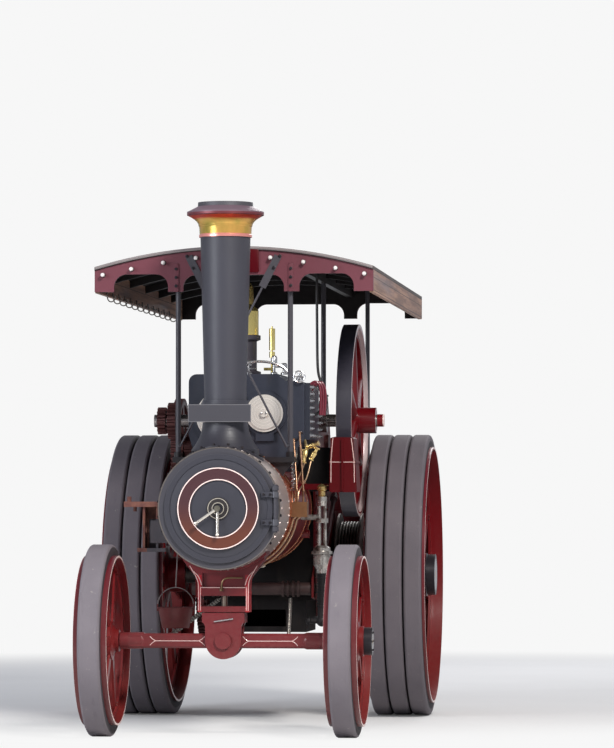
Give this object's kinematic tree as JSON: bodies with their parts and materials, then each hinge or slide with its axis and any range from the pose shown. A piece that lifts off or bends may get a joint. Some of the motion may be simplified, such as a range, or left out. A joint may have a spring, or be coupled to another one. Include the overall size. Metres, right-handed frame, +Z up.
{
  "type": "steam traction engine",
  "caption": "Steam traction engine with a boarded full-length canopy, round smokebox, brass-capped chimney, side flywheel, chain steering and rubber-tyred spoked wheels.",
  "frame": {"origin": "centre of the bounding box at road level", "axes": "-Y is the front of the engine, +X its left side, +Z up"},
  "size_m": [2.36, 5.47, 3.563],
  "materials": {
    "maroon_paint": "gloss",
    "canopy_paint": "gloss",
    "dark_grey_paint": "satin",
    "black_paint": "satin",
    "blue_grey_paint": "gloss",
    "polished_steel": "polished",
    "dull_steel": "oiled",
    "brass": "polished",
    "copper": "polished",
    "rubber": "matt",
    "rusty_iron": "rusty",
    "roof_board": "matt",
    "lamp_glass": "clear"
  },
  "bodies": {
    "chassis": {"smokebox": "dark_grey_paint", "boiler": "maroon_paint", "firebox": "maroon_paint", "hornplates": "maroon_paint", "chimney": "dark_grey_paint", "chimney_cap": "copper", "number_plate": "black_paint", "perch_bracket": "maroon_paint", "rear_axle": "dull_steel", "cylinder_block": "blue_grey_paint", "cylinder_covers": "polished_steel", "safety_valve": "brass", "motion": "polished_steel", "crankshaft": "polished_steel", "gearing": "dull_steel", "ashpan": "black_paint", "steering_gear": "maroon_paint", "tender": "maroon_paint", "backhead": "brass", "feed_pump": "dark_grey_paint", "side_bracket": "rusty_iron", "bucket": "maroon_paint", "tool_box": "maroon_paint", "pipes": "copper", "canopy_roof": "roof_board", "canopy_frame": "canopy_paint", "canopy_posts": "black_paint", "lamps": "lamp_glass", "steering_chain_left": "dull_steel", "steering_chain_right": "dull_steel"},
    "smokebox_door": {"smokebox_door": "dark_grey_paint", "crest_ring": "maroon_paint"},
    "firehole_door": {"firehole_door": "black_paint"},
    "tank_lid": {"tank_lid": "maroon_paint"},
    "forecarriage": {"front_axle": "maroon_paint"},
    "front_wheel_left": {"front_rim_left": "maroon_paint", "front_tyre_left": "rubber"},
    "front_wheel_right": {"front_rim_right": "maroon_paint", "front_tyre_right": "rubber"},
    "rear_wheel_left": {"rear_rim_left": "maroon_paint", "rear_tyre_left": "rubber"},
    "rear_wheel_right": {"rear_rim_right": "maroon_paint", "rear_tyre_right": "rubber"},
    "flywheel": {"flywheel": "blue_grey_paint"},
    "winding_drum": {"winding_drum": "dull_steel"}
  },
  "joints": [
    {"name": "steer", "type": "hinge", "parent": "chassis", "child": "forecarriage", "pos_m": [0, -2.095, 0.82], "axis": [0, 0, 1], "range_deg": [-30, 30], "deforming": ["steering_chain_left", "steering_chain_right"]},
    {"name": "front_left_spin", "type": "hinge", "parent": "forecarriage", "child": "front_wheel_left", "pos_m": [0.823, -2.095, 0.64], "axis": [1, 0, 0], "continuous": true},
    {"name": "front_right_spin", "type": "hinge", "parent": "forecarriage", "child": "front_wheel_right", "pos_m": [-0.823, -2.095, 0.64], "axis": [1, 0, 0], "continuous": true},
    {"name": "rear_left_spin", "type": "hinge", "parent": "chassis", "child": "rear_wheel_left", "pos_m": [0.945, 1.055, 1.03], "axis": [1, 0, 0], "continuous": true},
    {"name": "rear_right_spin", "type": "hinge", "parent": "chassis", "child": "rear_wheel_right", "pos_m": [-0.945, 1.055, 1.03], "axis": [1, 0, 0], "continuous": true},
    {"name": "flywheel_spin", "type": "hinge", "parent": "chassis", "child": "flywheel", "pos_m": [0.652, 0.105, 2.148], "axis": [1, 0, 0], "continuous": true},
    {"name": "drum_spin", "type": "hinge", "parent": "chassis", "child": "winding_drum", "pos_m": [0.558, 1.055, 1.03], "axis": [1, 0, 0], "continuous": true},
    {"name": "smokebox_door_swing", "type": "hinge", "parent": "chassis", "child": "smokebox_door", "pos_m": [0.378, -2.447, 1.52], "axis": [0, 0, 1], "range_deg": [0, 100]},
    {"name": "firehole_door_swing", "type": "hinge", "parent": "chassis", "child": "firehole_door", "pos_m": [0.195, 0.637, 1.33], "axis": [0, 0, -1], "range_deg": [0, 110]},
    {"name": "tank_lid_swing", "type": "hinge", "parent": "chassis", "child": "tank_lid", "pos_m": [-0.45, 1.895, 1.88], "axis": [-1, 0, 0], "range_deg": [0, 100]}
  ]
}
